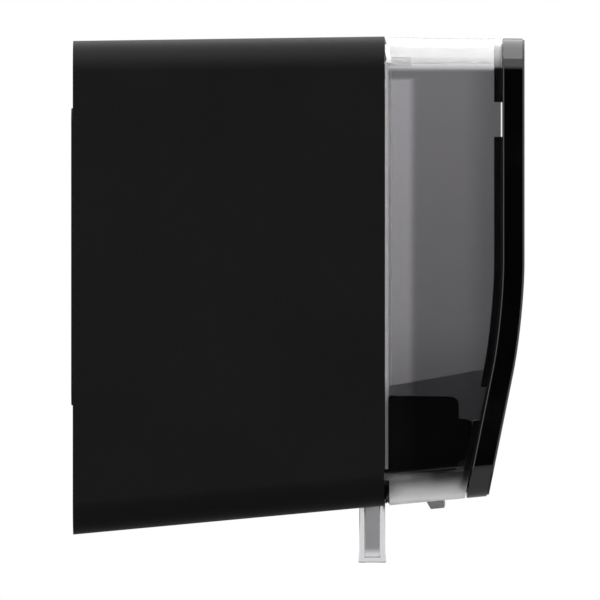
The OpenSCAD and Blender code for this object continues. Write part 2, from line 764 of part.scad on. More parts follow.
// Knuckles on the housing's floor, each with a short post that closes the relief in the ring's back edge
module hinge_brackets() color(deep_black)
    both_sides()
        difference() {
            union() {
                on_floor(seam_d)
                    translate([hinge_x, -hinge_reach, housing_wall])
                        cube([knuckle_w, leaf_l + hinge_reach, hinge_top - housing_wall]);
                hinge_axis_rod(hinge_x, hinge_x + knuckle_w, knuckle_r);
                block([hinge_x, hinge_x + knuckle_w], bracket_post_ds, bracket_post_zs);
            }
            hinge_axis_rod(hinge_x - over, hinge_x + knuckle_w + over, hinge_pin_r + run_fit);
        }

module hinge_leaves() color(clear)
    both_sides()
        difference() {
            union() {
                on_floor(seam_d)
                    translate([leaf_x, -hinge_reach - leaf_l, ring_wall])
                        cube([leaf_w, leaf_l, hinge_top - ring_wall]);
                hinge_axis_rod(leaf_x, leaf_x + leaf_w, knuckle_r);
            }
            hinge_axis_rod(leaf_x - over, leaf_x + leaf_w + over, hinge_pin_r + run_fit);
        }

module hinge_pins() color(steel)
    both_sides() hinge_axis_rod(hinge_x, leaf_x + leaf_w, hinge_pin_r);

// Cover

module clear_ring() color(clear)
    difference() {
        intersection() {
            difference() {
                body_space(ring_d, unit_d, 0);
                body_space(ring_d - over, unit_d + over, ring_wall);
            }
            across(unit_w + 2 * over) behind_front(face_t);
        }
        block([-unit_w, unit_w], relief_ds, [roof_z - 1.5 * ring_wall, roof_z + over]);
        block([-unit_w, unit_w], relief_ds, relief_zs);
        block([-outlet_w / 2, outlet_w / 2], [ring_d - over, tear_d], relief_zs);
        both_sides()
            block([hinge_x - slide_gap, leaf_x + leaf_w + slide_gap], [ring_d - over, hinge_d + hinge_top],
                  relief_zs);
    }

module face_frame() color(deep_black) {
    difference() {
        intersection() {
            body_space(ring_d, unit_d, 0);
            across(unit_w + 2 * over) difference() {
                behind_front(panel_t);
                behind_front(face_t);
            }
        }
        intersection() {
            body_space(ring_d, unit_d, face_rim);
            across(unit_w + 2 * over) behind_front(panel_t + face_web);
        }
    }
    face_lip();
}

// The lip that centres the face frame in the clear ring, with two gaps at each side
module face_lip()
    difference() {
        intersection() {
            difference() {
                body_space(ring_d, unit_d, ring_wall + slide_gap);
                body_space(ring_d - over, unit_d + over, face_rim);
            }
            across(unit_w) difference() {
                behind_front(face_t - lip_t / 2);
                behind_front(face_t + lip_l);
            }
        }
        for (g = lip_gaps)
            intersection() {
                block([-unit_w, unit_w], [ring_d, unit_d], g);
                across(3 * unit_w) behind_front(face_t);
            }
    }

module front_panel() color(black)
    intersection() {
        body_space(ring_d, unit_d + over, panel_inset);
        across(unit_w) difference() {
            behind_front(0);
            behind_front(panel_t);
        }
    }

// A smoked shade inside the clear ring's side wall, with a tongue in the lower gap of the lip
module shade() color(smoke)
    across(shade_t, ring_half_w - shade_t / 2)
        intersection() {
            union() {
                behind_front(face_t + lip_l + shade_gap);
                intersection() {
                    behind_front(face_t + shade_gap);
                    translate([shade_back_d, lower_gap_z + shade_gap])
                        square([unit_d, lower_gap_h - 2 * shade_gap]);
                }
            }
            translate([shade_back_d, -floor_drop]) square([unit_d, floor_drop]);
            translate([shade_back_d, -shade_drop]) rotate(shade_slope)
                translate([-unit_d, -unit_d]) square([2 * unit_d, unit_d]);
            translate([shade_back_d, floor_at(shade_back_d) + corner_r]) rotate(floor_slope)
                translate([-unit_d, 0]) square([2 * unit_d, floor_drop]);
        }

module tear_bar() color(smoke) {
    teeth = floor(outlet_w / tooth_pitch);
    start = -teeth * tooth_pitch / 2;
    saw = [for (i = [0:2 * teeth]) [start + i * tooth_pitch / 2, i % 2 == 0 ? -tooth_h : 0]];
    on_floor(tear_d)
        intersection() {
            rotate([90, 0, -90]) linear_extrude(outlet_w, center = true)
                polygon([[0, 0], [tear_w, 0], [tear_w, -tear_t], [tooth_h, -tear_t]]);
            translate([0, 0, -tear_t - over]) linear_extrude(tear_t + 2 * over)
                polygon(concat(saw, [[-start, -tear_w - over], [start, -tear_w - over]]));
        }
}

// Lock in the housing's roof and its catch on the cover

module lock_sleeve() color(deep_black)
    translate([0, -lock_d, 0])
        difference() {
            union() {
                translate([0, 0, sleeve_z]) cylinder(r = sleeve_r, h = sleeve_l);
                translate([0, 0, flange_top_z - flange_t]) cylinder(r = flange_r, h = flange_t);
            }
            translate([0, 0, sleeve_z - over]) cylinder(r = plug_r + run_fit, h = sleeve_l + 2 * over);
        }

module lock_plug() color(steel)
    translate([0, -lock_d, 0])
        difference() {
            translate([0, 0, hook_z]) cylinder(r = plug_r, h = lock_top_z - hook_z);
            translate([-key_slot[0] / 2, -key_slot[1] / 2, lock_top_z - key_slot[2]])
                cube([key_slot[0], key_slot[1], key_slot[2] + over]);
            translate([0, 0, hook_z]) rotate([180, 0, 0]) tip_hole(screw_bite);
        }

// A triangle from the middle between two angles
module sector(a0, a1, r)
    polygon([[0, 0], r * [cos(a0), sin(a0)], r * [cos(a1), sin(a1)]]);

// The hook turns about the lock's axis; its angles start at the tip
module lock_hook() color(steel)
    translate([0, -lock_d, hook_z]) rotate(270 + lock_turn - hook_lead)
        linear_extrude(hook_t)
            difference() {
                union() {
                    circle(sleeve_r);
                    difference() {
                        intersection() {
                            circle(hook_out_r);
                            sector(0, hook_span, 2 * hook_out_r);
                        }
                        difference() {
                            circle(hook_in_r);
                            sector(hook_span - hook_arm_span, hook_span + hook_arm_span, 2 * hook_out_r);
                        }
                    }
                }
                circle(plug_r + run_fit);
            }

module hook_screw() color(steel)
    translate([0, -lock_d, hook_z]) rotate([180, 0, 0]) {
        cylinder(r = (plug_r + sleeve_r) / 2, h = screw_head_h);
        translate([0, 0, tip_gap - screw_bite]) cylinder(r = screw_r, h = screw_bite);
    }

// A tongue under the cover's roof with a pin that the hook reaches round
module cover_catch() color(clear) {
    across(2 * catch_arm_r)
        polygon([[catch_d, catch_z], [catch_web_ds[1], catch_z],
                 [catch_web_ds[1], roof_at(catch_web_ds[1]) - ring_wall - sliver],
                 [catch_web_ds[0], roof_at(catch_web_ds[0]) - ring_wall - sliver],
                 [catch_web_ds[0], catch_top_z], [catch_d, catch_top_z]]);
    translate([0, -catch_d, catch_z]) cylinder(r = catch_arm_r, h = catch_t);
    translate([0, -catch_d, hook_z - catch_pin_r / 2])
        cylinder(r = catch_pin_r, h = catch_top_z - hook_z);
}

rear_housing();
wall_plate();
roll_frame();
frame_screws();
centre_post();
post_screws();
inner_axle();
inner_axle_nut();
inner_washers();
arm_pivot_pins();
paper_chute();
chute_screws();
shutter_rail_front();
shutter_rail_back();
shutter_stops();
hinge_brackets();
hinge_pins();
side(-1) spring_arm();  // left_arm
side(1) spring_arm();  // right_arm
side(-1) outer_axle();  // left_axle
side(1) outer_axle();  // right_axle
side(-1) nut(arm_out_x);  // left_axle_nut
side(1) nut(arm_out_x);  // right_axle_nut
side(-1) washer(arm_in_x - washer_t);  // left_washer
side(1) washer(arm_in_x - washer_t);  // right_washer
side(-1) arm_spring();  // left_arm_spring
side(1) arm_spring();  // right_arm_spring
side(-1) outer_hub();  // left_outer_hub
side(1) outer_hub();  // right_outer_hub
side(-1) inner_hub();  // left_inner_hub
side(1) inner_hub();  // right_inner_hub
shutter_door();
shutter_lever();
lever_screws();
clear_ring();
face_frame();
front_panel();
side(-1) shade();  // left_shade
side(1) shade();  // right_shade
tear_bar();
hinge_leaves();
lock_sleeve();
lock_plug();
lock_hook();
hook_screw();
cover_catch();
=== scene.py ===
"""Looks of a wall dispenser for two toilet rolls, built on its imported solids."""
import math

import bmesh
import bpy
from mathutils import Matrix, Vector


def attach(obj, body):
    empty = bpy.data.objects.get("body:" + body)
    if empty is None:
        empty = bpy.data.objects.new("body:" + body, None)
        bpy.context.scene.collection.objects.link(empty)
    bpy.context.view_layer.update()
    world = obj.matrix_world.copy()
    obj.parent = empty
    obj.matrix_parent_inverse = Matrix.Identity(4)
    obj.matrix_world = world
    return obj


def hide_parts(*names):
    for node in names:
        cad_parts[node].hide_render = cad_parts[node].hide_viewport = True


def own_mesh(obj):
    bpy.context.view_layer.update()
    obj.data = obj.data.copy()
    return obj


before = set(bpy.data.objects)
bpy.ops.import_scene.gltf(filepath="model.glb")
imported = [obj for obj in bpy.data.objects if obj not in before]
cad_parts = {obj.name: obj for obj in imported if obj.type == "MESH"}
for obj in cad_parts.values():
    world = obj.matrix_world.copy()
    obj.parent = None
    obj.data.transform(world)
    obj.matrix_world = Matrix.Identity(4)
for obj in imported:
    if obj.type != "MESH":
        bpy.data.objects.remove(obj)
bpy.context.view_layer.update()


# Camera and studio
# The dispenser is seen square from its left side, through a very long lens. The studio is white all round, but for a
# dark patch behind the camera and a grey floor far below, and a wide soft lamp hangs over the dispenser.
mm = 0.001
half_width = 165


def place(x, depth, z):
    """A point given in millimetres: across, out from the wall, and up."""
    return Vector((x, -depth, z)) * mm


def aimed_at(spot, target):
    """The turn of a camera or a lamp that stands on a spot and points at a target."""
    return (target - spot).to_track_quat("-Z", "Y").to_euler()


def add_node(tree, kind, inputs=None, **settings):
    """Add a shader node. An input is a plain value or another node's output."""
    made = tree.nodes.new(kind)
    for name, value in settings.items():
        setattr(made, name, value)
    for name, value in (inputs or {}).items():
        if isinstance(value, bpy.types.NodeSocket):
            tree.links.new(value, made.inputs[name])
        else:
            made.inputs[name].default_value = value
    return made


def reckon(tree, operation, *values):
    """Add a node that reckons with one to three values, and give its output."""
    return add_node(tree, "ShaderNodeMath", dict(enumerate(values)), operation=operation).outputs[0]


def fade(tree, value, start, end, low=0, high=1, kind="LINEAR"):
    """Add a node that goes from low to high while a value goes from start to end, and give its output."""
    ends = {"Value": value, "From Min": start, "From Max": end, "To Min": low, "To Max": high}
    return add_node(tree, "ShaderNodeMapRange", ends, interpolation_type=kind).outputs[0]


def parts_of(tree, where):
    """The X, Y and Z of a place or a direction."""
    return add_node(tree, "ShaderNodeSeparateXYZ", {0: where}).outputs


camera_distance = 10150
view_width = 243.6
camera_spot = place(-half_width - camera_distance, 172, -56)
camera_target = place(-half_width, 93.3, -17.7)
bpy.ops.object.select_all(action="DESELECT")
bpy.ops.object.camera_add(location=camera_spot, rotation=aimed_at(camera_spot, camera_target))
camera = bpy.context.object
camera.data.lens = camera.data.sensor_width * camera_distance / view_width
camera.data.clip_end = 30
bpy.context.scene.camera = camera
bpy.context.scene.view_settings.view_transform = "Standard"

white = (1, 1, 1, 1)
studio_glow = 0.9
dark_until = math.radians(2)
white_from = math.radians(16)
studio = bpy.data.worlds.new("studio")
studio.use_nodes = True
tree = studio.node_tree
tree.nodes.clear()
bpy.context.scene.world = studio
rays = add_node(tree, "ShaderNodeLightPath").outputs
way = add_node(tree, "ShaderNodeTexCoord").outputs["Generated"]
to_camera = reckon(tree, "MULTIPLY", parts_of(tree, way)["X"], -1)
off_camera = reckon(tree, "ARCCOSINE", to_camera)
beside_camera = fade(tree, off_camera, dark_until, white_from)
mirrored = reckon(tree, "MULTIPLY", rays["Is Glossy Ray"], beside_camera)
seen_straight = reckon(tree, "MAXIMUM", rays["Is Camera Ray"], rays["Is Transmission Ray"])
seen = reckon(tree, "MAXIMUM", seen_straight, mirrored)
unmirrored = reckon(tree, "SUBTRACT", 1, rays["Is Glossy Ray"])
glow = reckon(tree, "MULTIPLY", unmirrored, studio_glow)
soft_light = add_node(tree, "ShaderNodeBackground", {"Color": white, "Strength": glow}).outputs[0]
white_ground = add_node(tree, "ShaderNodeBackground", {"Color": white, "Strength": 1}).outputs[0]
surround = add_node(tree, "ShaderNodeMixShader", {0: seen, 1: soft_light, 2: white_ground}).outputs[0]
add_node(tree, "ShaderNodeOutputWorld", {"Surface": surround})

floor_grey = (0.25, 0.25, 0.25, 1)
seen_lift = 0.75
mirrored_lift = 0.02
bpy.ops.mesh.primitive_plane_add(size=8, location=place(0, 90, -360))
floor = bpy.context.object
floor.name = "floor"
floor_paint = bpy.data.materials.new("floor_paint")
floor_paint.use_nodes = True
tree = floor_paint.node_tree
tree.nodes.clear()
rays = add_node(tree, "ShaderNodeLightPath").outputs
mirrored = reckon(tree, "MULTIPLY", rays["Is Glossy Ray"], mirrored_lift)
seen = reckon(tree, "MAXIMUM", rays["Is Camera Ray"], rays["Is Transmission Ray"])
lift = reckon(tree, "MULTIPLY_ADD", seen, seen_lift, mirrored)
pale = add_node(tree, "ShaderNodeBsdfDiffuse", {"Color": floor_grey}).outputs[0]
lifted = add_node(tree, "ShaderNodeEmission", {"Color": white, "Strength": lift}).outputs[0]
from_above = add_node(tree, "ShaderNodeAddShader", {0: pale, 1: lifted}).outputs[0]
from_below = add_node(tree, "ShaderNodeBsdfTransparent").outputs[0]
underside = add_node(tree, "ShaderNodeNewGeometry").outputs["Backfacing"]
two_faced = add_node(tree, "ShaderNodeMixShader", {0: underside, 1: from_above, 2: from_below}).outputs[0]
add_node(tree, "ShaderNodeOutputMaterial", {"Surface": two_faced})
floor.data.materials.append(floor_paint)

lamp_spot = place(0, 92, 1000)
lamp_target = place(0, 92, -10)
bpy.ops.object.light_add(type="AREA", location=lamp_spot, rotation=aimed_at(lamp_spot, lamp_target))
lamp = bpy.context.object
lamp.name = "overhead_lamp"
lamp.data.size = 2.4
lamp.data.energy = 30


# Rear housing
# An injection moulded box of black plastic with a fine spark texture, open to the front. Screw bosses, spring seats,
# the recess for the wall plate and the slot for the shutter's lever are moulded in one piece with it.
def select_nothing():
    """Leave edit mode, with nothing selected."""
    if bpy.context.mode != "OBJECT":
        bpy.ops.object.mode_set(mode="OBJECT")
    bpy.ops.object.select_all(action="DESELECT")


def work_on(piece):
    """Select one piece alone, in object mode."""
    select_nothing()
    piece.select_set(True)
    bpy.context.view_layer.objects.active = piece


def settle():
    """Put the place, the turn and the size of what is selected into its mesh."""
    bpy.ops.object.transform_apply(location=True, rotation=True, scale=True)


def start_block(name, across, depths, heights):
    """Add a block by its reach across, out from the wall and up, in millimetres."""
    select_nothing()
    reaches = (across, (-depths[1], -depths[0]), heights)
    bpy.ops.mesh.primitive_cube_add(size=1, location=[mm * (a + b) / 2 for a, b in reaches])
    piece = bpy.context.object
    piece.name = name
    piece.scale = [mm * (b - a) for a, b in reaches]
    settle()
    return piece


def start_rod(name, end_a, end_b, radius, sides=48):
    """Add a round rod between two points, its radius in millimetres."""
    select_nothing()
    axis = end_b - end_a
    bpy.ops.mesh.primitive_cylinder_add(vertices=sides, radius=radius * mm, depth=axis.length,
                                        location=(end_a + end_b) / 2, rotation=axis.to_track_quat("Z", "Y").to_euler())
    piece = bpy.context.object
    piece.name = name
    settle()
    return piece


def open_all(piece):
    """Open a piece for editing, with all of it selected."""
    work_on(piece)
    bpy.ops.object.mode_set(mode="EDIT")
    bpy.ops.mesh.select_mode(type="VERT")
    bpy.ops.mesh.select_all(action="SELECT")


def pick(piece, kind, wanted):
    """Open a piece for editing, with those of its corners, edges or faces selected that are wanted."""
    work_on(piece)
    bpy.ops.object.mode_set(mode="EDIT")
    bpy.ops.mesh.select_mode(type=kind)
    bpy.ops.mesh.select_all(action="DESELECT")
    shape = bmesh.from_edit_mesh(piece.data)
    for part in {"VERT": shape.verts, "EDGE": shape.edges, "FACE": shape.faces}[kind]:
        if wanted(part):
            part.select_set(True)
    shape.select_flush_mode()
    bmesh.update_edit_mesh(piece.data)


def move(piece, wanted, x=0, depth=0, z=0):
    """Move those corners of a piece that are wanted, in millimetres."""
    pick(piece, "VERT", wanted)
    bpy.ops.transform.translate(value=place(x, depth, z))
    work_on(piece)


def round_over(piece, wanted, radius, steps):
    """Round those edges of a piece that are wanted, by a radius in millimetres."""
    pick(piece, "EDGE", wanted)
    bpy.ops.mesh.bevel(offset=radius * mm, segments=steps, affect="EDGES", clamp_overlap=False)
    work_on(piece)


def push_in(piece, wanted, border, x=0, depth=0):
    """Draw those faces of a piece in that are wanted, and push what is inside the border, in millimetres."""
    pick(piece, "FACE", wanted)
    bpy.ops.mesh.inset(thickness=border * mm)
    bpy.ops.mesh.extrude_region_move(TRANSFORM_OT_translate={"value": place(x, depth, 0)})
    work_on(piece)


def join_shape(piece, tool, action, solver="EXACT"):
    """Weld a tool shape to a piece with UNION, or cut it out with DIFFERENCE."""
    work_on(piece)
    joint = piece.modifiers.new("joint", "BOOLEAN")
    joint.operation = action
    joint.solver = solver
    joint.object = tool
    bpy.ops.object.modifier_apply(modifier=joint.name)
    bpy.data.objects.remove(tool)


def finish_edges(piece, width, sharpest=35):
    """Round the sharp edges of a piece a little, in millimetres, and let its curves shade smoothly."""
    work_on(piece)
    rounding = piece.modifiers.new("rounding", "BEVEL")
    rounding.width = width * mm
    rounding.segments = 2
    rounding.limit_method = "ANGLE"
    rounding.angle_limit = math.radians(sharpest)
    bpy.ops.object.modifier_apply(modifier=rounding.name)
    open_all(piece)
    bpy.ops.mesh.dissolve_degenerate(threshold=0.001 * mm)
    work_on(piece)
    bpy.ops.object.shade_smooth_by_angle(angle=math.radians(sharpest))
    even = piece.modifiers.new("even_normals", "WEIGHTED_NORMAL")
    even.keep_sharp = True
    bpy.ops.object.modifier_apply(modifier=even.name)


def hand_over(piece, material, nodes, body):
    """Give a finished piece its material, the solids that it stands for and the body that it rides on."""
    piece.data.materials.clear()
    piece.data.materials.append(material)
    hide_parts(*nodes)
    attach(piece, body)


def object_place(tree):
    """The place on a piece, in metres."""
    return add_node(tree, "ShaderNodeTexCoord").outputs["Object"]


def mix_colours(tree, share, first, second, how="MIX"):
    """Add a node that mixes two colours by a share of the second, and give its output."""
    colours = {0: share, 6: first, 7: second}
    return add_node(tree, "ShaderNodeMix", colours, data_type="RGBA", blend_type=how).outputs[2]


patches_per_metre = 22
noise_dark = 0.35
noise_light = 0.65
grain_group = bpy.data.node_groups.new("moulded_grain", "ShaderNodeTree")
for name, kind in (("Grain per metre", "NodeSocketFloat"), ("Dark", "NodeSocketColor"), ("Light", "NodeSocketColor"),
                   ("Least roughness", "NodeSocketFloat"), ("Most roughness", "NodeSocketFloat")):
    grain_group.interface.new_socket(name, in_out="INPUT", socket_type=kind)
for name, kind in (("Color", "NodeSocketColor"), ("Roughness", "NodeSocketFloat"), ("Height", "NodeSocketFloat")):
    grain_group.interface.new_socket(name, in_out="OUTPUT", socket_type=kind)
given = add_node(grain_group, "NodeGroupInput").outputs
where = object_place(grain_group)
fine = add_node(grain_group, "ShaderNodeTexNoise",
                {"Vector": where, "Scale": given["Grain per metre"], "Detail": 2, "Roughness": 0.6}).outputs[0]
patches = add_node(grain_group, "ShaderNodeTexNoise",
                   {"Vector": where, "Scale": patches_per_metre, "Detail": 4, "Roughness": 0.65}).outputs[0]
blend = add_node(grain_group, "ShaderNodeMix", {0: 0.4, 2: fine, 3: patches}, data_type="FLOAT").outputs[0]
spread = fade(grain_group, blend, noise_dark, noise_light)
tone = mix_colours(grain_group, spread, given["Dark"], given["Light"])
rub = fade(grain_group, patches, noise_dark, noise_light, low=given["Least roughness"], high=given["Most roughness"])
add_node(grain_group, "NodeGroupOutput", {"Color": tone, "Roughness": rub, "Height": fine})


def set_look(material, tint, roughness):
    """Link a colour and a roughness to a material's shader."""
    shader = material.node_tree.nodes["Principled BSDF"]
    material.node_tree.links.new(tint, shader.inputs["Base Color"])
    material.node_tree.links.new(roughness, shader.inputs["Roughness"])


def moulded(name, dark, light, roughness, grain, relief, gloss=0.5):
    """A moulded plastic: its colours in linear light, its roughness range, and its grain per metre and depth in mm."""
    plastic = bpy.data.materials.new(name)
    plastic.use_nodes = True
    tree = plastic.node_tree
    look = add_node(tree, "ShaderNodeGroup", node_tree=grain_group)
    for label, value in (("Grain per metre", grain), ("Dark", (*dark, 1)), ("Light", (*light, 1)),
                         ("Least roughness", roughness[0]), ("Most roughness", roughness[1])):
        look.inputs[label].default_value = value
    bump = add_node(tree, "ShaderNodeBump", {"Height": look.outputs["Height"], "Distance": relief * mm})
    shader = tree.nodes["Principled BSDF"]
    shader.inputs["Specular IOR Level"].default_value = gloss
    set_look(plastic, look.outputs["Color"], look.outputs["Roughness"])
    tree.links.new(bump.outputs["Normal"], shader.inputs["Normal"])
    return plastic


seam_depth = 127.5
seam_floor = -101.3
roof_top = 89.5
bend_height = -24.87
corner_radius = 13
housing_back = 1
housing_wall = 2.5
inner_back = 5
back_floor = -113.04
roof_fall = 1.8
inner_roof_fall = 1.74
inner_floor_fall = 11.36
boss_radius = 5
frame_boss_front = 11
frame_screw_places = [(x, z) for x in (-110.1, 110.1) for z in (-6.6, 30.6)]
chute_boss_top = -88
chute_screw_places = [(x, depth) for x in (-146.2, 146.2) for depth in (106, 120)]
spring_depth = 62
roll_height = 12
lock_depth = 108
plate_half = (145, 60.5)
plate_front = 3
plate_corner = 6
plate_gap = 0.3
wall_hole_places = [(x, z) for x in (-100, 100) for z in (-50, 50)]
wall_hole_radius = 2.75


def runs_out(edge):
    """Whether an edge runs out from the wall along one of the four long corners."""
    a, b = (corner.co for corner in edge.verts)
    off_bend = abs(a.z - bend_height * mm) > 30 * mm
    return off_bend and abs(a.y - b.y) > 3 * abs(a.z - b.z) and abs(a.x - b.x) < 0.1 * mm


def runs_through(edge):
    """Whether an edge runs through a plate that lies flat on the wall."""
    return abs(edge.verts[0].co.y - edge.verts[1].co.y) > 1 * mm


def at_inner_back(corner):
    """Whether a corner of the housing lies on the front of its back wall."""
    return abs(corner.co.y + inner_back * mm) < 0.1 * mm


housing_plastic = moulded("housing_plastic", (0.0025, 0.0025, 0.0027), (0.0045, 0.0045, 0.0048), (0.43, 0.5),
                          grain=1900, relief=0.06, gloss=0.13)
housing = start_block("housing_shell", across=(-half_width, half_width), depths=(housing_back, seam_depth),
                      heights=(back_floor, roof_top))
move(housing, lambda corner: corner.co.y > -10 * mm and corner.co.z > 0, z=-roof_fall)
move(housing, lambda corner: corner.co.y < -100 * mm and corner.co.z < 0, z=seam_floor - back_floor)
round_over(housing, runs_out, radius=corner_radius, steps=14)
push_in(housing, lambda face: face.normal.y < -0.9, border=housing_wall, depth=inner_back - seam_depth)
move(housing, lambda corner: at_inner_back(corner) and corner.co.z < 0, z=-inner_floor_fall)
move(housing, lambda corner: at_inner_back(corner) and corner.co.z > 0, z=-inner_roof_fall)
for x, z in frame_screw_places:
    frame_boss = start_rod("frame_boss", place(x, 4, z), place(x, frame_boss_front, z), boss_radius)
    join_shape(housing, frame_boss, "UNION")
for x, depth in chute_screw_places:
    chute_boss = start_rod("chute_boss", place(x, depth, -101.5), place(x, depth, chute_boss_top), boss_radius)
    join_shape(housing, chute_boss, "UNION")
for side in (-1, 1):
    spring_seat = start_rod("spring_seat", place(side * 158.5, spring_depth, roll_height),
                            place(side * 163.7, spring_depth, roll_height), radius=4.09)
    join_shape(housing, spring_seat, "UNION")
lock_hole = start_rod("lock_hole", place(0, lock_depth, 80), place(0, lock_depth, 95), radius=8.1)
join_shape(housing, lock_hole, "DIFFERENCE")
lever_slot = start_block("lever_slot", across=(-87.2, 87.2), depths=(114.9, 129), heights=(-104, -97.8))
join_shape(housing, lever_slot, "DIFFERENCE")
recess_half = [half + plate_gap for half in plate_half]
plate_recess = start_block("plate_recess", across=(-recess_half[0], recess_half[0]), depths=(-1, plate_front),
                           heights=(-recess_half[1], recess_half[1]))
round_over(plate_recess, runs_through, radius=plate_corner + plate_gap, steps=6)
join_shape(housing, plate_recess, "DIFFERENCE")
for x, z in wall_hole_places:
    wall_hole = start_rod("wall_hole", place(x, -1, z), place(x, 8, z), wall_hole_radius, sides=32)
    join_shape(housing, wall_hole, "DIFFERENCE")
finish_edges(housing, width=0.6)
hand_over(housing, housing_plastic, ["rear_housing"], "housing")


# Wall plate
# A stamped steel plate with round corners, powder coated black, behind the housing. Its four holes line up with those
# of the housing, and the wall screws clamp both to the wall.
plate_paint = moulded("plate_paint", (0.004, 0.004, 0.004), (0.008, 0.008, 0.008), (0.5, 0.65), grain=2600, relief=0.03,
                      gloss=0.13)
plate = start_block("stamped_plate", across=(-plate_half[0], plate_half[0]), depths=(0, plate_front),
                    heights=(-plate_half[1], plate_half[1]))
round_over(plate, runs_through, radius=plate_corner, steps=8)
for x, z in wall_hole_places:
    plate_hole = start_rod("plate_hole", place(x, -1, z), place(x, 4, z), wall_hole_radius, sides=32)
    join_shape(plate, plate_hole, "DIFFERENCE")
finish_edges(plate, width=0.5)
hand_over(plate, plate_paint, ["wall_plate"], "housing")


# Roll frame and centre post
# A moulded bar across the back of the housing carries both arms' pivots, and a post in its middle carries the inner
# ends of the rolls. Both are satin black plastic, and pan head screws hold the bar to the housing's bosses.
def dress(node, name, material, body, edge):
    """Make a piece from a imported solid: weld its corners, take out needless edges and round the sharp ones by edge."""
    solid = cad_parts[node]
    piece = bpy.data.objects.new(name, solid.data.copy())
    bpy.context.collection.objects.link(piece)
    open_all(piece)
    bpy.ops.mesh.remove_doubles(threshold=0.002 * mm)
    bpy.ops.mesh.dissolve_limited(angle_limit=math.radians(0.5))
    finish_edges(piece, edge)
    hand_over(piece, material, [node], body)


frame_plastic = moulded("frame_plastic", (0.0055, 0.0055, 0.0058), (0.0095, 0.0095, 0.01), (0.3, 0.44), grain=1500,
                        relief=0.03, gloss=0.3)
dress("roll_frame", "pivot_bar", frame_plastic, "housing", edge=0.6)
dress("centre_post", "middle_post", frame_plastic, "housing", edge=0.6)


# Screws
# Zinc plated pan head screws with a cross recess hold the bar, the post and the chute. Each kind is made once and
# copied to its places.
def plated(name, dark, light, roughness, grain, relief):
    """A bare or plated metal with a fine grain, its colours in linear light and its grain per metre and depth in mm."""
    metal = moulded(name, dark, light, roughness, grain, relief)
    metal.node_tree.nodes["Principled BSDF"].inputs["Metallic"].default_value = 1
    return metal


def pan_screw(name, tip, seat):
    """A screw along +Z with its tip and the seat of its head at those heights, in millimetres."""
    made = start_rod(name, place(0, 0, tip), place(0, 0, seat + 0.4), radius=1.9, sides=24)
    round_over(made, lambda edge: max(corner.co.z for corner in edge.verts) < (tip + 0.1) * mm, radius=0.7, steps=1)
    head_top = seat + 2.4
    head = start_rod("head", place(0, 0, seat), place(0, 0, head_top), radius=3.8, sides=40)
    round_over(head, lambda edge: min(corner.co.z for corner in edge.verts) > (head_top - 0.1) * mm,
               radius=1.3, steps=5)
    join_shape(made, head, "UNION")
    for across, deep in ((2.2, 0.55), (0.55, 2.2)):
        recess = start_block("recess", (-across, across), (-deep, deep), heights=(seat + 1.1, seat + 3))
        join_shape(made, recess, "DIFFERENCE")
    finish_edges(made, width=0.12)
    return made


def set_screws(made, name, spots, turn, node):
    """Put a copy of a screw on each spot, turned from +Z, and hand them over as one piece."""
    copies = []
    for spot in spots:
        copy = bpy.data.objects.new(name, made.data.copy())
        bpy.context.collection.objects.link(copy)
        copy.rotation_euler = turn
        copy.location = spot
        copies.append(copy)
    bpy.data.objects.remove(made)
    work_on(copies[0])
    for copy in copies:
        copy.select_set(True)
    settle()
    bpy.ops.object.join()
    hand_over(copies[0], zinc_steel, [node], "housing")


zinc_steel = plated("zinc_steel", (0.5, 0.51, 0.53), (0.68, 0.69, 0.71), (0.24, 0.38), grain=700, relief=0.01)
turn_none = (0, 0, 0)
turn_forward = (math.radians(90), 0, 0)
post_spots = [place(x, 15, z) for x in (-7.56, 7.56) for z in (-0.06, 24.06)]
frame_spots = [place(x, frame_boss_front, z) for x, z in frame_screw_places]
chute_spots = [place(x, depth, chute_boss_top) for x, depth in chute_screw_places]
set_screws(pan_screw("frame_screw", tip=-6.5, seat=4), "frame_screw_set", frame_spots, turn_forward, "frame_screws")
set_screws(pan_screw("post_screw", tip=-3.5, seat=4), "post_screw_set", post_spots, turn_forward, "post_screws")
set_screws(pan_screw("chute_screw", tip=-6.5, seat=3), "chute_screw_set", chute_spots, turn_none, "chute_screws")


# Inner axle, nut and washers
# A turned steel axle runs through the post, with a drag washer of nylon and a hub at each side. A nut at its end holds
# them together.
nylon = moulded("nylon", (0.66, 0.66, 0.63), (0.74, 0.74, 0.71), (0.4, 0.55), grain=1200, relief=0.02)
dress("inner_axle", "middle_axle", zinc_steel, "housing", edge=0.4)
dress("inner_axle_nut", "middle_nut", zinc_steel, "housing", edge=0.35)
dress("inner_washers", "middle_washers", nylon, "housing", edge=0.2)


# Arms with their axles, springs and hubs
# A sprung arm of black plastic at each side swings out on a steel pin to let a roll in. A compression spring of round
# wire stands between the arm and the housing's side, and nylon hubs with grip fins turn on the axles.
def face_outward(piece):
    """Turn all the faces of a closed piece outwards."""
    open_all(piece)
    bpy.ops.mesh.normals_make_consistent(inside=False)
    work_on(piece)


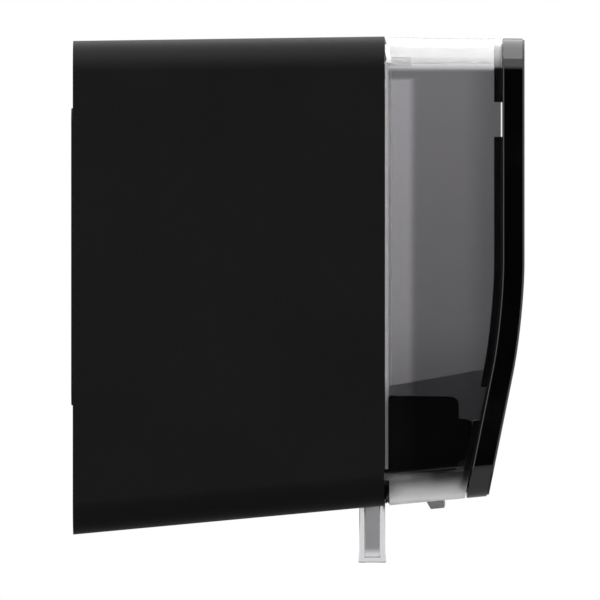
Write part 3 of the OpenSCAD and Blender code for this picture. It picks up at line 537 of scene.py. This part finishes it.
def wind_spring(name, side):
    """Wind round wire along the width, from the arm to the housing's side."""
    wire_radius = 0.6
    coil_radius = 5.4
    pitch = 4.1
    turns = 6
    steps_per_turn = 28
    start_x = 137.25
    select_nothing()
    bpy.ops.mesh.primitive_circle_add(vertices=12, radius=wire_radius * mm, fill_type="NOTHING", rotation=turn_forward)
    wire = bpy.context.object
    wire.name = name
    settle()
    move(wire, lambda corner: True, z=coil_radius)
    coil = wire.modifiers.new("coil", "SCREW")
    coil.axis = "X"
    coil.angle = math.radians(360)
    coil.screw_offset = side * pitch * mm
    coil.iterations = turns
    coil.steps = steps_per_turn
    coil.render_steps = steps_per_turn
    coil.use_smooth_shade = True
    bpy.ops.object.modifier_apply(modifier=coil.name)
    open_all(wire)
    bpy.ops.mesh.remove_doubles(threshold=0.002 * mm)
    pick(wire, "EDGE", lambda edge: edge.is_boundary)
    bpy.ops.mesh.fill()
    face_outward(wire)
    wire.location = place(side * start_x, spring_depth, roll_height)
    settle()
    bpy.ops.object.shade_smooth_by_angle(angle=math.radians(50))
    return wire


spring_wire = plated("spring_wire", (0.3, 0.3, 0.31), (0.46, 0.46, 0.48), (0.28, 0.42), grain=2400, relief=0.01)
dress("arm_pivot_pins", "pivot_pins", zinc_steel, "housing", edge=0.3)
for side, name in ((-1, "left"), (1, "right")):
    arm_body = name + "_arm"
    dress(name + "_arm", name + "_swing_arm", frame_plastic, arm_body, edge=0.6)
    dress(name + "_axle", name + "_roll_axle", zinc_steel, arm_body, edge=0.4)
    dress(name + "_axle_nut", name + "_roll_nut", zinc_steel, arm_body, edge=0.35)
    dress(name + "_washer", name + "_drag_washer", nylon, arm_body, edge=0.2)
    for end in ("outer", "inner"):
        hub = name + "_" + end + "_hub"
        dress(hub, hub + "_moulding", nylon, hub, edge=0.4)
    spring = wind_spring(name + "_coil", side)
    hand_over(spring, spring_wire, [name + "_arm_spring"], "housing")
    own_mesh(spring)


# Paper chute with its rails and stops
# A black moulding across the foot of the housing guides the paper of both rolls to two slots. Two clear rails under it
# carry the shutter, with rubber stops at their ends.
def see_through(name, sheen=1):
    """A clear plastic that still lacks its colour and roughness. Sheen is how bright it mirrors."""
    plastic = bpy.data.materials.new(name)
    plastic.use_nodes = True
    glass = plastic.node_tree.nodes["Principled BSDF"]
    glass.inputs["Transmission Weight"].default_value = 1
    glass.inputs["IOR"].default_value = 1.49
    glass.inputs["Specular Tint"].default_value = (sheen, sheen, sheen, 1)
    return plastic


def clouds(tree, where, per_metre, detail=4):
    """Soft clouds over a piece, from 0 to 1."""
    return add_node(tree, "ShaderNodeTexNoise", {"Vector": where, "Scale": per_metre, "Detail": detail}).outputs[0]


chute_plastic = moulded("chute_plastic", (0.002, 0.002, 0.0022), (0.004, 0.004, 0.0043), (0.34, 0.5), grain=1500,
                        relief=0.03, gloss=0.15)
rubber = moulded("rubber", (0.01, 0.01, 0.01), (0.018, 0.018, 0.018), (0.7, 0.85), grain=2200, relief=0.04)
clear_plastic = see_through("clear_plastic")
tree = clear_plastic.node_tree
cloud = clouds(tree, object_place(tree), per_metre=90)
tint = mix_colours(tree, cloud, (0.78, 0.79, 0.8, 1), (0.86, 0.87, 0.88, 1))
polish = fade(tree, cloud, 0, 1, low=0.05, high=0.16)
set_look(clear_plastic, tint, polish)

dress("paper_chute", "chute_moulding", chute_plastic, "housing", edge=0.6)
dress("shutter_rail_front", "front_rail", clear_plastic, "housing", edge=0.3)
dress("shutter_rail_back", "back_rail", clear_plastic, "housing", edge=0.3)
dress("shutter_stops", "end_stops", rubber, "housing", edge=0.3)


# Hinge
# Black knuckles on the housing's floor and clear ones on the cover's meet on two steel pins at the foot of the seam.
# The knuckles are welded on, and the pins stay with the housing.
dress("hinge_brackets", "housing_knuckles", chute_plastic, "housing", edge=0.3)
dress("hinge_leaves", "cover_knuckles", clear_plastic, "cover", edge=0.3)
dress("hinge_pins", "knuckle_pins", zinc_steel, "housing", edge=0.2)


# Lock
# A key plug of plated steel turns in a black sleeve in the housing's roof. The hook on its lower end is held by a
# screw, and reaches round the pin of a clear catch under the cover's roof.
dress("lock_sleeve", "plug_sleeve", chute_plastic, "housing", edge=0.4)
dress("lock_plug", "key_plug", zinc_steel, "lock", edge=0.3)
dress("lock_hook", "plug_hook", zinc_steel, "lock", edge=0.4)
dress("hook_screw", "hook_bolt", zinc_steel, "lock", edge=0.4)
dress("cover_catch", "hook_catch", clear_plastic, "cover", edge=0.4)


# Clear ring of the cover
# A moulded sleeve of clear plastic between the housing and the black face. Its flat side windows are smoked, with
# painted light that makes the smoke lighter along the back and towards the top, and painted shade that darkens it
# towards the foot and the front. The round edges are clear, greyer next to the windows, with painted light that clears
# them towards the roof. The roof, floor and foot are frosted, and pale frosted strips at the rear edges are a painted
# highlight.
floor_slope = math.radians(5.3)
front_slope = math.radians(11.4)
floor_rise = math.tan(floor_slope)
front_lean = math.tan(front_slope)
bend_reach = 22.66
cover_depth = 57
cover_roof_fall = 0.8


def floor_height(depth):
    """Height of the cover's floor at a depth, in millimetres."""
    return seam_floor + (depth - seam_depth) * floor_rise


def roof_height(depth):
    """Height of the cover's roof at a depth, in millimetres. It falls a little to the front."""
    return roof_top - cover_roof_fall * (depth - seam_depth) / cover_depth


def cover_form(name, back, front, inset, back_leans):
    """A solid in the outline of the cover between two depths, drawn in all round, that leans back below the bend."""
    half = half_width - inset
    low = floor_height(back) + inset
    form = start_block(name, (-half, half), (back, front), (low, roof_height(back) - inset))
    open_all(form)
    bpy.ops.mesh.bisect(plane_co=place(0, 0, bend_height), plane_no=(0, 0, 1))
    for depth in (back, front):
        move(form, lambda corner: abs(corner.co.y + depth * mm) < 0.01 * mm and corner.co.z > 0,
             z=roof_height(depth) - roof_height(back))
        if depth == front or back_leans:
            run = bend_height - seam_floor - inset + seam_depth * floor_rise
            foot = (depth - run * front_lean) / (1 - floor_rise * front_lean)
            move(form, lambda corner: abs(corner.co.y + depth * mm) < 0.01 * mm and corner.co.z < -80 * mm,
                 depth=foot - depth, z=floor_height(foot) + inset - low)
    bends = [front, back] if back_leans else [front]

    def across_side(edge):
        """Whether an edge crosses a side of the form at the bend."""
        a, b = (corner.co for corner in edge.verts)
        level = max(abs(corner.z - bend_height * mm) for corner in (a, b)) < 0.01 * mm
        return level and abs(a.x - b.x) < 0.01 * mm

    def at_bend(edge):
        """Whether an edge runs along the bend, from side to side."""
        a, b = (corner.co for corner in edge.verts)
        level = abs(a.z - bend_height * mm) < 0.01 * mm and abs(a.x - b.x) > 100 * mm
        return level and any(abs(a.y + depth * mm) < 0.01 * mm for depth in bends)

    pick(form, "EDGE", across_side)
    bpy.ops.mesh.dissolve_edges(use_verts=False)
    round_over(form, at_bend, radius=bend_reach, steps=10)
    round_over(form, runs_out, radius=corner_radius - inset, steps=14)
    return form


def soft_fade(tree, value, start, end, low=0, high=1):
    """A fade that starts and ends softly."""
    return fade(tree, value, start, end, low, high, kind="SMOOTHSTEP")


smoke_sheen = 0.15
smoke_painted_lighter = (0.487, 0.48, 0.493, 1)
deep_smoke = (0.347, 0.342, 0.352, 1)
grey_clear = (0.64, 0.635, 0.645, 1)
full_clear = (0.99, 0.99, 0.99, 1)
top_tilt = -0.01258
foot_tilt = 0.00324
clear_from = 79.2 * mm
floor_level = (seam_floor - seam_depth * floor_rise) * mm
ring_plastic = see_through("ring_plastic", smoke_sheen)
tree = ring_plastic.node_tree
where = object_place(tree)
spot = parts_of(tree, where)
tilted_height = reckon(tree, "MULTIPLY_ADD", spot["X"], top_tilt, spot["Z"])
below_top = soft_fade(tree, tilted_height, clear_from, 76.8 * mm)
along_floor = reckon(tree, "MULTIPLY_ADD", spot["Y"], floor_rise, spot["Z"])
over_floor = reckon(tree, "MULTIPLY_ADD", spot["X"], foot_tilt, along_floor)
above_foot = soft_fade(tree, over_floor, floor_level + 4.4 * mm, floor_level + 9.4 * mm)
window = reckon(tree, "MULTIPLY", above_foot, below_top)
# Painted light: a band of the windows along the back, below the top strip, gets the paler smoke.
to_the_front = soft_fade(tree, spot["Y"], -136.6 * mm, -140.4 * mm)
to_the_top = soft_fade(tree, tilted_height, 73.3 * mm, 74.9 * mm)
deep = reckon(tree, "MAXIMUM", to_the_front, to_the_top)
smoke = mix_colours(tree, deep, smoke_painted_lighter, deep_smoke)
# Painted light and shade: the smoke grows lighter towards the top, and darker towards the foot and the front.
painted_top_light = fade(tree, spot["Z"], -20 * mm, 70 * mm, low=0.945, high=1.12)
painted_foot_shade = soft_fade(tree, spot["Z"], -62 * mm, -18 * mm, low=0.76)
painted_front_shade = soft_fade(tree, spot["Y"], -173 * mm, -158 * mm, low=0.83)
for share in (painted_top_light, painted_foot_shade, painted_front_shade):
    smoke = mix_colours(tree, 1, smoke, share, how="MULTIPLY")
# Painted light: the round edges are grey next to the upper windows and clear low down, and they clear towards the roof.
painted_roof_light = fade(tree, tilted_height, clear_from, 83 * mm)
low_down = fade(tree, spot["Z"], -40 * mm, -60 * mm)
clearness = reckon(tree, "MAXIMUM", painted_roof_light, low_down)
clear = mix_colours(tree, clearness, grey_clear, full_clear)
tint = mix_colours(tree, window, clear, smoke)
polish = fade(tree, clouds(tree, where, per_metre=35), 0, 1, high=0.015)
from_middle = reckon(tree, "ABSOLUTE", spot["X"])
roof_or_floor = fade(tree, from_middle, 152 * mm, 149 * mm, high=0.7)
near_floor = fade(tree, over_floor, floor_level + 15 * mm, floor_level + 8.5 * mm, high=0.4)
matt = reckon(tree, "MAXIMUM", roof_or_floor, near_floor)
frost = reckon(tree, "MAXIMUM", polish, matt)
set_look(ring_plastic, tint, frost)

ring_back = 127.8
outlet_half = 128
outlet_front = 144.5
past_sides = (-170, 170)
before_ring = 120
through_floor = (-104, -91)
ring = cover_form("cover_ring", back=ring_back, front=174.9, inset=0, back_leans=False)
pick(ring, "FACE", lambda face: abs(face.normal.y) > 0.5)
bpy.ops.mesh.delete(type="FACE")
work_on(ring)
wall = ring.modifiers.new("wall", "SOLIDIFY")
wall.thickness = 2.2 * mm
wall.offset = -1
wall.use_even_offset = True
bpy.ops.object.modifier_apply(modifier=wall.name)
paper_outlet = start_block("paper_outlet", across=(-outlet_half, outlet_half), depths=(before_ring, outlet_front),
                           heights=through_floor)
join_shape(ring, paper_outlet, "DIFFERENCE")
floor_relief = start_block("floor_relief", past_sides, depths=(before_ring, 129.6), heights=through_floor)
join_shape(ring, floor_relief, "DIFFERENCE")
roof_relief = start_block("roof_relief", past_sides, depths=(before_ring, 129.6), heights=(86.2, 92))
join_shape(ring, roof_relief, "DIFFERENCE")
for side in (-1, 1):
    notch_across = sorted((side * 133.7, side * 149.6))
    hinge_notch = start_block("hinge_notch", notch_across, depths=(before_ring, 136.6), heights=through_floor)
    join_shape(ring, hinge_notch, "DIFFERENCE")
    groove_across = sorted((side * 160, side * 170))
    rim_groove = start_block("rim_groove", groove_across, depths=(before_ring, 129.2), heights=(-86.5, 78.9))
    join_shape(ring, rim_groove, "DIFFERENCE")
finish_edges(ring, width=0.3)
hand_over(ring, ring_plastic, ["clear_ring"], "cover")

# Painted highlight: the rear rim strips are pale where the ring's rear edge catches the light, and painted shade dims
# them lower down.
rim_painted_highlight = moulded("rim_painted_highlight", (0.8, 0.8, 0.805), (0.88, 0.88, 0.885), (0.7, 0.8), grain=1800, relief=0.02,
                       gloss=0.2)
tree = rim_painted_highlight.node_tree
rim_shader = tree.nodes["Principled BSDF"]
edge_tone = rim_shader.inputs["Base Color"]
painted_foot_shade = soft_fade(tree, parts_of(tree, object_place(tree))["Z"], -62 * mm, -48 * mm, low=0.4)
dimmed = mix_colours(tree, 1, edge_tone.links[0].from_socket, painted_foot_shade, how="MULTIPLY")
tree.links.new(dimmed, edge_tone)
rim_shader.inputs["Transmission Weight"].default_value = 0.7
for side, name in ((-1, "left"), (1, "right")):
    rim_across = sorted((side * 162.85, side * 164.7))
    rim = start_block(name + "_rear_rim", rim_across, depths=(ring_back, 129.15), heights=(-86.4, 78.8))
    finish_edges(rim, width=0.15)
    hand_over(rim, rim_painted_highlight, ["clear_ring"], "cover")


# Black face
# A shallow moulded tray of polished black plastic that closes the ring at the front. A satin black lip behind its rim,
# with two gaps at each side, centres it in the ring. Its upper side is light grey: painted light on the part seen
# through the top of the ring.
def at_back_rim(edge):
    """Whether an edge parts a face that looks to the wall from one that doesn't."""
    return sorted(face.normal.y > 0.5 for face in edge.link_faces) == [False, True]


def lip_ring(name):
    """The whole lip round the inside of the clear ring."""
    made = cover_form(name, back=172.1, front=175.6, inset=2.5, back_leans=True)
    inside = cover_form("lip_inside", back=168, front=180, inset=4, back_leans=True)
    join_shape(made, inside, "DIFFERENCE", solver="MANIFOLD")
    return made


face_plastic = moulded("face_plastic", (0.0006, 0.0006, 0.0007), (0.0014, 0.0014, 0.0015), (0.04, 0.09),
                       grain=900, relief=0.002, gloss=1)
panel_back = 183.7
face = cover_form("face_tray", back=175.5, front=panel_back, inset=0, back_leans=True)
round_over(face, at_back_rim, radius=0.7, steps=3)
push_in(face, lambda side: side.normal.y > 0.975, border=3.3, depth=6)
finish_edges(face, width=0.15)
hand_over(face, face_plastic, ["face_frame"], "cover")

lip_top = 76.5
lip = lip_ring("face_lip")
for side in (-1, 1):
    gap_across = sorted((side * 150, side * 166))
    upper_gap = start_block("upper_gap", gap_across, depths=(165, 178), heights=(48.6, 66.4))
    join_shape(lip, upper_gap, "DIFFERENCE", solver="MANIFOLD")
    lower_gap = start_block("lower_gap", gap_across, depths=(155, 169), heights=(-66.9, -53.1))
    move(lower_gap, lambda corner: corner.co.y < -160 * mm and corner.co.z < -60 * mm, depth=-2.78)
    join_shape(lip, lower_gap, "DIFFERENCE", solver="MANIFOLD")
upper_side = start_block("upper_side", across=(-166, 166), depths=(165, 178), heights=(lip_top, 90))
join_shape(lip, upper_side, "DIFFERENCE", solver="MANIFOLD")
finish_edges(lip, width=0.2)
hand_over(lip, frame_plastic, ["face_frame"], "cover")

# Painted light: the lip's upper side is light grey, as if lit through the top of the ring.
lip_painted_light = moulded("lip_painted_light", (0.4, 0.4, 0.405), (0.47, 0.47, 0.475), (0.4, 0.5), grain=1500, relief=0.03)
lip_roof = lip_ring("lip_roof")
below_roof = start_block("below_roof", past_sides, depths=(150, 190), heights=(-110, lip_top))
join_shape(lip_roof, below_roof, "DIFFERENCE", solver="MANIFOLD")
finish_edges(lip_roof, width=0.2)
hand_over(lip_roof, lip_painted_light, ["face_frame"], "cover")


# Front panel
# A thin skin of satin black plastic with a fine grain, bonded to the front of the black face. It is cut to size, and
# its side edges are painted grey, a painted highlight where they catch the light.
panel_plastic = moulded("panel_plastic", (0.012, 0.012, 0.0125), (0.024, 0.024, 0.025), (0.32, 0.48), grain=1100,
                        relief=0.12)
# Painted highlight: a grey band along the side edges where they catch the light.
highlight_grey = (0.085, 0.085, 0.0875, 1)
tree = panel_plastic.node_tree
skin_tone = tree.nodes["Principled BSDF"].inputs["Base Color"]
from_middle = reckon(tree, "ABSOLUTE", parts_of(tree, object_place(tree))["X"])
painted_edge_highlight = soft_fade(tree, from_middle, 163.7 * mm, 164.1 * mm)
edged = mix_colours(tree, painted_edge_highlight, skin_tone.links[0].from_socket, highlight_grey)
tree.links.new(edged, skin_tone)
panel = cover_form("front_skin", back=panel_back, front=184.5, inset=0.6, back_leans=True)
finish_edges(panel, width=0.15)
hand_over(panel, panel_plastic, ["front_panel"], "cover")


# Smoked shades
# A thin sheet of dark smoked plastic inside each side window, low down, with a sloping top edge and a tongue in the
# lower gap of the lip. It hides the paper chute and is bonded to the ring's wall.
def trim(piece, spot, to_wall, up):
    """Cut off what lies beyond a plane through a spot, by how much the plane looks to the wall and up."""
    open_all(piece)
    bpy.ops.mesh.bisect(plane_co=spot, plane_no=(0, to_wall, up), use_fill=True, clear_outer=True)


shade_dark = (0.55, 0.545, 0.555, 1)
shade_light = (0.65, 0.645, 0.655, 1)
shade_plastic = see_through("shade_plastic", smoke_sheen)
tree = shade_plastic.node_tree
where = object_place(tree)
cloud = clouds(tree, where, per_metre=60, detail=3)
smoke = mix_colours(tree, cloud, shade_dark, shade_light)
# Painted shade: the sheet grows darker towards its foot.
painted_foot_shade = soft_fade(tree, parts_of(tree, where)["Z"], -84 * mm, -76 * mm, low=0.5)
smoke = mix_colours(tree, 1, smoke, painted_foot_shade, how="MULTIPLY")
polish = fade(tree, cloud, 0, 1, high=0.02)
set_look(shade_plastic, smoke, polish)

shade_back = 129.6
top_slope = math.radians(9.9)
top_back = place(0, shade_back, -52.6)
foot_back = place(0, shade_back, floor_height(shade_back) + 13)
top_front = place(0, 167.3, -47.1)
for side, name in ((-1, "left_shade"), (1, "right_shade")):
    shade_across = sorted((side * 161.6, side * 162.75))
    shade = start_block(name + "_sheet", shade_across, depths=(shade_back, 172), heights=(-92, -40))
    trim(shade, top_back, math.sin(top_slope), math.cos(top_slope))
    trim(shade, foot_back, -math.sin(floor_slope), -math.cos(floor_slope))
    trim(shade, top_front, -math.cos(front_slope), -math.sin(front_slope))
    tongue = start_block("tongue", shade_across, depths=(158, 168.8), heights=(-66.6, -53.4))
    move(tongue, lambda corner: corner.co.y < -160 * mm and corner.co.z < -60 * mm, depth=-2.66)
    join_shape(shade, tongue, "UNION")
    finish_edges(shade, width=0.2)
    hand_over(shade, shade_plastic, [name], "cover")


# Tear bar
# A grey plastic strip bonded under the cover's floor in front of the paper outlet, with saw teeth along its back edge.
# One tooth is made at the left end, open at its ends, and repeated along the strip, which is then closed.
def at_tooth_tip(corner):
    """Whether a corner of the first tooth lies in its middle, at the back edge and on top."""
    return abs(corner.co.x - tooth_tip * mm) < 0.1 * mm and corner.co.y > -2 * mm and corner.co.z > -1 * mm


tear_plastic = moulded("tear_plastic", (0.34, 0.34, 0.345), (0.42, 0.42, 0.425), (0.35, 0.5), grain=1500, relief=0.03)
tooth_pitch = 3.2
tooth_count = 80
tooth_reach = 1.5
tooth_tip = tooth_pitch / 2 - outlet_half
tear_bar = start_block("tear_strip", across=(-outlet_half, tooth_pitch - outlet_half), depths=(tooth_reach, 7),
                       heights=(-3.2, 0))
open_all(tear_bar)
bpy.ops.mesh.bisect(plane_co=place(tooth_tip, 0, 0), plane_no=(1, 0, 0))
move(tear_bar, at_tooth_tip, depth=-tooth_reach)
pick(tear_bar, "FACE", lambda face: abs(face.normal.x) > 0.9)
bpy.ops.mesh.delete(type="FACE")
work_on(tear_bar)
teeth = tear_bar.modifiers.new("teeth", "ARRAY")
teeth.count = tooth_count
teeth.use_merge_vertices = True
teeth.merge_threshold = 0.01 * mm
bpy.ops.object.modifier_apply(modifier=teeth.name)
for side in (-1, 1):
    pick(tear_bar, "EDGE", lambda edge: edge.is_boundary and edge.verts[0].co.x * side > 0)
    bpy.ops.mesh.edge_face_add()
    face_outward(tear_bar)
tear_bar.rotation_euler = (-floor_slope, 0, 0)
tear_bar.location = place(0, outlet_front, floor_height(outlet_front))
settle()
bpy.ops.object.shade_smooth_by_angle(angle=math.radians(20))
hand_over(tear_bar, tear_plastic, ["tear_bar"], "cover")


# Shutter and lever
# A clear plastic shutter slides under the chute from one paper slot to the other. Its lever is an I-section of clear
# plastic with a flat, darker web, screwed under the shutter, that hangs below the housing.
dress("shutter_door", "sliding_door", clear_plastic, "shutter", edge=0.3)
dress("lever_screws", "sunk_screws", zinc_steel, "shutter", edge=0.1)

lever_depths = (116.9, 127.5)
lever_middle = 122.2
lever_foot = -124.9
lever_top = -90.5
lever_clear = (0.66, 0.66, 0.675, 1)
web_dark = (0.24, 0.235, 0.245, 1)
web_light = (0.28, 0.275, 0.285, 1)
lever_plastic = see_through("lever_plastic")
tree = lever_plastic.node_tree
where = object_place(tree)
spot = parts_of(tree, where)
from_middle = reckon(tree, "ABSOLUTE", reckon(tree, "SUBTRACT", spot["Y"], -lever_middle * mm))
web_depth = soft_fade(tree, from_middle, 3.3 * mm, 3 * mm)
web_height = soft_fade(tree, spot["Z"], -122.2 * mm, -118.6 * mm)
web = reckon(tree, "MULTIPLY", web_depth, web_height)
cloud = clouds(tree, where, per_metre=90)
smoke = mix_colours(tree, cloud, web_dark, web_light)
tint = mix_colours(tree, web, lever_clear, smoke)
polish = fade(tree, cloud, 0, 1, low=0.04, high=0.14)
set_look(lever_plastic, tint, polish)

lever = start_block("lever_handle", across=(-76.2, -64.2), depths=lever_depths, heights=(lever_foot, lever_top))
open_all(lever)
bpy.ops.mesh.bisect(plane_co=place(0, 0, lever_foot + 5), plane_no=(0, 0, 1))
for side in (-1, 1):
    move(lever, lambda corner: corner.co.z < (lever_foot + 1) * mm and (corner.co.y + lever_middle * mm) * side < 0,
         depth=0.4 * side)
for side in (-1, 1):
    push_in(lever, lambda face: face.normal.x * side > 0.9, border=2.2, x=-4.75 * side)
lever_flange = start_block("lever_flange", across=(-85.2, -55.2), depths=lever_depths, heights=(-93.5, lever_top))
join_shape(lever, lever_flange, "UNION")
finish_edges(lever, width=0.45)
hand_over(lever, lever_plastic, ["shutter_lever"], "shutter")
